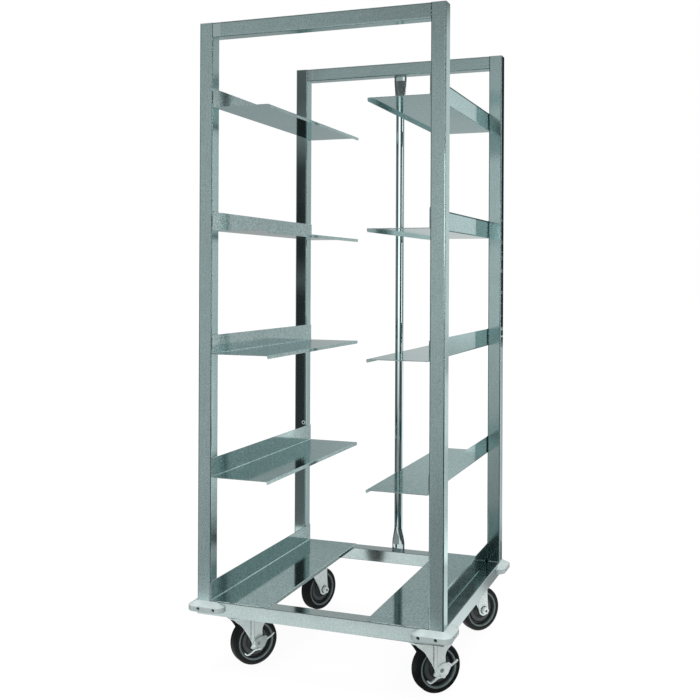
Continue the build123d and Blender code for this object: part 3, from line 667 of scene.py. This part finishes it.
# grey levels of the room round the cart, by compass bearing in degrees from +Y
LOW = [(-180, 1.30), (-174, 1.30), (-171, 0.62), (-167, 0.60), (-163, 0.48), (-150, 0.50), (-145, 0.42), (-138, 0.14), (-96, 0.11), (-92, 0.60), (-80, 0.60),
       (-76, 0.12), (-60, 0.14), (-50, 0.34), (-36, 0.42), (-25, 0.43), (-17, 0.66), (-8, 0.76), (6, 0.86), (15, 0.94), (19, 0.82), (22, 0.60),
       (26, 0.51), (29, 0.72), (34, 0.82), (44, 0.55), (60, 0.36), (74, 0.26), (98, 0.26), (99.5, 4.0), (104.5, 4.0), (106, 0.05)]
HIGH = [(-180, 1.20), (-174, 1.20), (-171, 0.38), (-165, 0.29), (-157, 0.40), (-150, 0.45), (-144, 0.35), (-138, 0.12), (-96, 0.10), (-92, 0.50), (-80, 0.50),
        (-76, 0.12), (-60, 0.14), (-45, 0.34), (-30, 0.50), (-22, 0.38), (-16, 0.51), (-6, 0.50), (5, 0.66), (12, 0.80), (17, 0.86), (23, 0.54), (30, 0.30),
        (44, 0.34), (60, 0.22), (76, 0.24), (98, 0.24), (100, 1.20), (104, 1.20), (106, 0.05), (174, 0.06), (176, 1.20)]
TOP = [(-180, 0.36), (-172, 0.34), (-165, 0.27), (-157, 0.40), (-150, 0.45), (-144, 0.35), (-138, 0.12), (-60, 0.14), (-45, 0.34), (-30, 0.62),
       (-23, 0.54), (-16, 0.49), (-4, 0.34), (4, 0.05), (19, 0.05), (23, 0.48), (30, 0.44), (44, 0.24), (60, 0.20), (80, 0.26), (98, 0.26), (108, 0.10), (174, 0.08), (177, 0.40)]
CROWN = [(-180, 0.12), (-30, 0.14), (-16, 0.60), (-6, 0.95), (24, 0.95), (36, 0.50), (50, 0.12)]
# the floor as the steel sees it: within a metre of the cart, and further out (bearings about the rear left post)
NEAR = [(-180, 0.88), (-168, 0.86), (-155, 0.94), (-148, 0.92), (-122, 0.92), (-112, 0.34), (-60, 0.28), (-20, 0.40), (8, 0.40), (33, 0.40),
        (37, 0.88), (50, 1.10), (60, 1.10), (75, 0.30), (105, 0.08), (150, 0.08), (163, 0.12), (172, 0.84)]
GROUND = [(-180, 0.36), (-174, 0.47), (-166, 0.45), (-160, 0.39), (-154, 0.50), (-147, 0.45), (-140, 0.15), (-96, 0.11), (-86, 0.14),
          (-60, 0.14), (-50, 0.32), (-36, 0.42), (-27, 0.47), (-15, 0.52), (0, 0.52), (22, 0.54), (26, 0.66), (34, 0.74), (40, 0.90),
          (50, 1.30), (56, 1.60), (66, 1.60), (76, 0.10), (98, 0.08), (100, 0.50), (103, 0.50), (105, 0.06), (148, 0.06), (160, 0.30), (172, 0.32)]


def compass(t, x, y):
    a = t.math("ARCTAN2", x, y)
    return t.math("ADD", t.math("MULTIPLY", a, 1 / (2 * math.pi)), 0.5)


def ring(t, az, stops):
    return t.ramp(az, [((a + 180) / 360, (v, v, v)) for a, v in stops])


m, t = material("pale_floor")
lp = t.add("ShaderNodeLightPath")
diffuse = t.add("ShaderNodeBsdfDiffuse")
diffuse.inputs["Color"].default_value = (0.90, 0.90, 0.90, 1)
glow = t.add("ShaderNodeEmission")
glow.inputs["Color"].default_value = (1.0, 1.0, 1.0, 1)
glow.inputs["Strength"].default_value = 1.02
both = t.add("ShaderNodeMixShader")
both.inputs[0].default_value = 0.93
t.link(diffuse.outputs[0], both.inputs[1])
t.link(glow.outputs[0], both.inputs[2])
xyz = t.add("ShaderNodeSeparateXYZ")
t.link(t.add("ShaderNodeTexCoord").outputs["Object"], xyz.inputs[0])
far = t.math("SQRT", t.math("ADD", t.math("MULTIPLY", xyz.outputs[0], xyz.outputs[0]), t.math("MULTIPLY", xyz.outputs[1], xyz.outputs[1])))
round_cart = compass(t, xyz.outputs[0], xyz.outputs[1])
round_post = compass(t, t.math("ADD", xyz.outputs[0], 0.292), t.math("SUBTRACT", xyz.outputs[1], 0.311))
wide = t.math("MAXIMUM", t.math("ABSOLUTE", xyz.outputs[0]), t.math("ABSOLUTE", xyz.outputs[1]))
shown = t.mix(t.remap(wide, 0.86, 0.94, 0.0, 1.0), ring(t, round_cart, NEAR), ring(t, round_post, GROUND))
shown = t.mix(t.remap(far, 7.0, 18.0, 0.0, 1.0), shown, ring(t, round_cart, LOW))
mirror = t.add("ShaderNodeEmission")
t.link(shown, mirror.inputs["Color"])
pick = t.add("ShaderNodeMixShader")
t.link(lp.outputs["Is Glossy Ray"], pick.inputs[0])
t.link(both.outputs[0], pick.inputs[1])
t.link(mirror.outputs[0], pick.inputs[2])
out = t.add("ShaderNodeOutputMaterial")
t.link(pick.outputs[0], out.inputs["Surface"])
m.cycles.emission_sampling = "NONE"
plane("floor", [(-40, -40, 0), (40, -40, 0), (40, 40, 0), (-40, 40, 0)], m)


def card(name, corners, levels, one_sided=False):
    """A studio card that only shows in reflections; its grey follows height."""
    m, t = material(name)
    xyz = t.add("ShaderNodeSeparateXYZ")
    t.link(t.add("ShaderNodeTexCoord").outputs["Object"], xyz.inputs[0])
    e = t.add("ShaderNodeEmission")
    t.link(t.ramp(t.math("MULTIPLY", xyz.outputs[2], 0.4), [(z * 0.4, (v, v, v)) for z, v in levels]), e.inputs["Color"])
    out = t.add("ShaderNodeOutputMaterial")
    shader = e.outputs[0]
    if one_sided:
        clear = t.add("ShaderNodeMixShader")
        t.link(t.add("ShaderNodeNewGeometry").outputs["Backfacing"], clear.inputs[0])
        t.link(t.add("ShaderNodeBsdfTransparent").outputs[0], clear.inputs[1])
        t.link(shader, clear.inputs[2])
        shader = clear.outputs[0]
    t.link(shader, out.inputs["Surface"])
    m.cycles.emission_sampling = "NONE"
    o = plane(name, corners, m)
    o.visible_camera = False
    o.visible_diffuse = False
    o.visible_shadow = False
    o.visible_transmission = False
    return o


def wall(x0, y0, x1, y1, z0, z1):
    return [(x0, y0, z0), (x1, y1, z0), (x1, y1, z1), (x0, y0, z1)]


card("card_left", wall(-0.88, -0.60, -0.662, -0.60, 0.0, 2.3),
     [(0.0, 0.16), (0.28, 0.13), (0.40, 0.04), (0.95, 0.03), (1.02, 0.10), (1.12, 0.03), (1.30, 0.03), (1.48, 0.05), (1.60, 0.20), (1.78, 0.12), (2.3, 0.20)])
card("card_edge", wall(0.3308, 0.45, 0.3655, 0.45, 0.86, 1.76), [(0.0, 0.70), (0.85, 0.70), (0.90, 0.02), (1.76, 0.02)])
card("card_line", wall(0.350, -0.400, 0.392, -0.400, 0.93, 1.34), [(0.93, 1.1), (1.05, 1.4), (1.09, 2.8), (1.34, 2.8)])
card("card_front", wall(0.56, -0.90, 0.68, -0.90, 0.25, 2.0), [(0.25, 0.75), (0.36, 0.75), (0.39, 0.04), (0.62, 0.04), (0.66, 0.75), (1.00, 0.80), (1.30, 0.80), (1.45, 1.00), (2.0, 1.00)])
card("card_rod", wall(-0.004, 0.270, 0.027, 0.270, 0.50, 1.55), [(0.50, 0.30), (0.75, 1.0), (0.95, 1.6)], one_sided=True)
card("card_front_side", wall(0.49, -0.90, 0.56, -0.90, 0.25, 1.40), [(0.25, 0.55), (0.36, 0.55), (0.39, 0.04), (0.62, 0.04), (0.66, 0.55), (1.40, 0.55)])
card("card_floor_near", [(0.28, 0.88, 0.002), (0.58, 0.88, 0.002), (0.60, 1.27, 0.002), (0.30, 1.27, 0.002)], [(0.0, 0.20)])
card("card_floor_far", [(0.45, 1.28, 0.002), (0.68, 1.28, 0.002), (0.87, 1.72, 0.002), (0.70, 1.72, 0.002)], [(0.0, 0.45)])
card("card_right", wall(1.03, 3.2, 1.52, 3.2, 0.0, 0.45), [(0.0, 1.05)])

world = bpy.data.worlds.new("studio")
bpy.context.scene.world = world
world.use_nodes = True
world.cycles.sampling_method = "NONE"
t = Tree(world.node_tree)
gen = t.add("ShaderNodeTexCoord").outputs["Generated"]
sep = t.add("ShaderNodeSeparateXYZ")
t.link(gen, sep.inputs[0])
az = compass(t, sep.outputs[0], sep.outputs[1])
up = sep.outputs[2]
walls = t.mix(t.remap(up, 0.12, 0.28, 0.0, 1.0), ring(t, az, LOW), ring(t, az, HIGH))
walls_top = t.mix(t.remap(up, 0.31, 0.37, 0.0, 1.0), ring(t, az, TOP), ring(t, az, CROWN))
walls_top = t.mix(t.remap(up, 0.50, 0.62, 0.0, 1.0), walls_top, (0.12, 0.12, 0.12))
walls = t.mix(t.remap(up, 0.235, 0.275, 0.0, 1.0), walls, walls_top)
sky = t.mix(t.remap(up, 0.78, 0.93, 0.0, 1.0), walls, (0.62, 0.62, 0.62))
lp = t.add("ShaderNodeLightPath")
white = t.add("ShaderNodeBackground")
white.inputs["Color"].default_value = (1, 1, 1, 1)
white.inputs["Strength"].default_value = 1.0
room = t.add("ShaderNodeBackground")
t.link(sky, room.inputs["Color"])
soft = t.add("ShaderNodeBackground")
soft.inputs["Color"].default_value = (0.45, 0.45, 0.45, 1)
first = t.add("ShaderNodeMixShader")
t.link(lp.outputs["Is Glossy Ray"], first.inputs[0])
t.link(soft.outputs[0], first.inputs[1])
t.link(room.outputs[0], first.inputs[2])
pick = t.add("ShaderNodeMixShader")
t.link(lp.outputs["Is Camera Ray"], pick.inputs[0])
t.link(first.outputs[0], pick.inputs[1])
t.link(white.outputs[0], pick.inputs[2])
out = t.add("ShaderNodeOutputWorld")
t.link(pick.outputs[0], out.inputs["Surface"])


sun_data = bpy.data.lights.new("overhead", "SUN")
sun_data.energy = 2.4
sun_data.angle = math.radians(50)
sun = bpy.data.objects.new("overhead", sun_data)
bpy.context.scene.collection.objects.link(sun)
sun.rotation_euler = (math.radians(8), math.radians(6), 0)
sun.visible_glossy = False
fill_data = bpy.data.lights.new("fill", "SUN")
fill_data.energy = 1.1
fill_data.angle = math.radians(60)
fill = bpy.data.objects.new("fill", fill_data)
bpy.context.scene.collection.objects.link(fill)
fill.rotation_euler = (math.radians(62), 0, math.radians(24))
fill.visible_glossy = False

# camera: solved from the straight edges of the frame
FOCAL_PX, U0, V0 = 1004.18, 354.73, 276.95
YAW, ROLL = -0.35559, 0.004626
cam_data = bpy.data.cameras.new("camera")
cam = bpy.data.objects.new("camera", cam_data)
bpy.context.scene.collection.objects.link(cam)
fwd = Vector((math.sin(YAW), math.cos(YAW), 0))
right = Vector((math.cos(YAW), -math.sin(YAW), 0))
upv = Vector((0, 0, 1))
r2 = right * math.cos(ROLL) + upv * math.sin(ROLL)
u2 = upv * math.cos(ROLL) - right * math.sin(ROLL)
rot = Matrix((r2, u2, -fwd)).transposed().to_4x4()
cam.matrix_world = Matrix.Translation((0.95648, -2.63137, 1.03391)) @ rot
cam_data.sensor_width = 36.0
cam_data.lens = FOCAL_PX / 700 * 36.0
cam_data.shift_x = (350 - U0) / 700
cam_data.shift_y = (V0 - 350) / 700
cam_data.dof.use_dof = False
cam_data.clip_end = 200
bpy.context.scene.camera = cam
bpy.context.scene.view_settings.view_transform = "Standard"
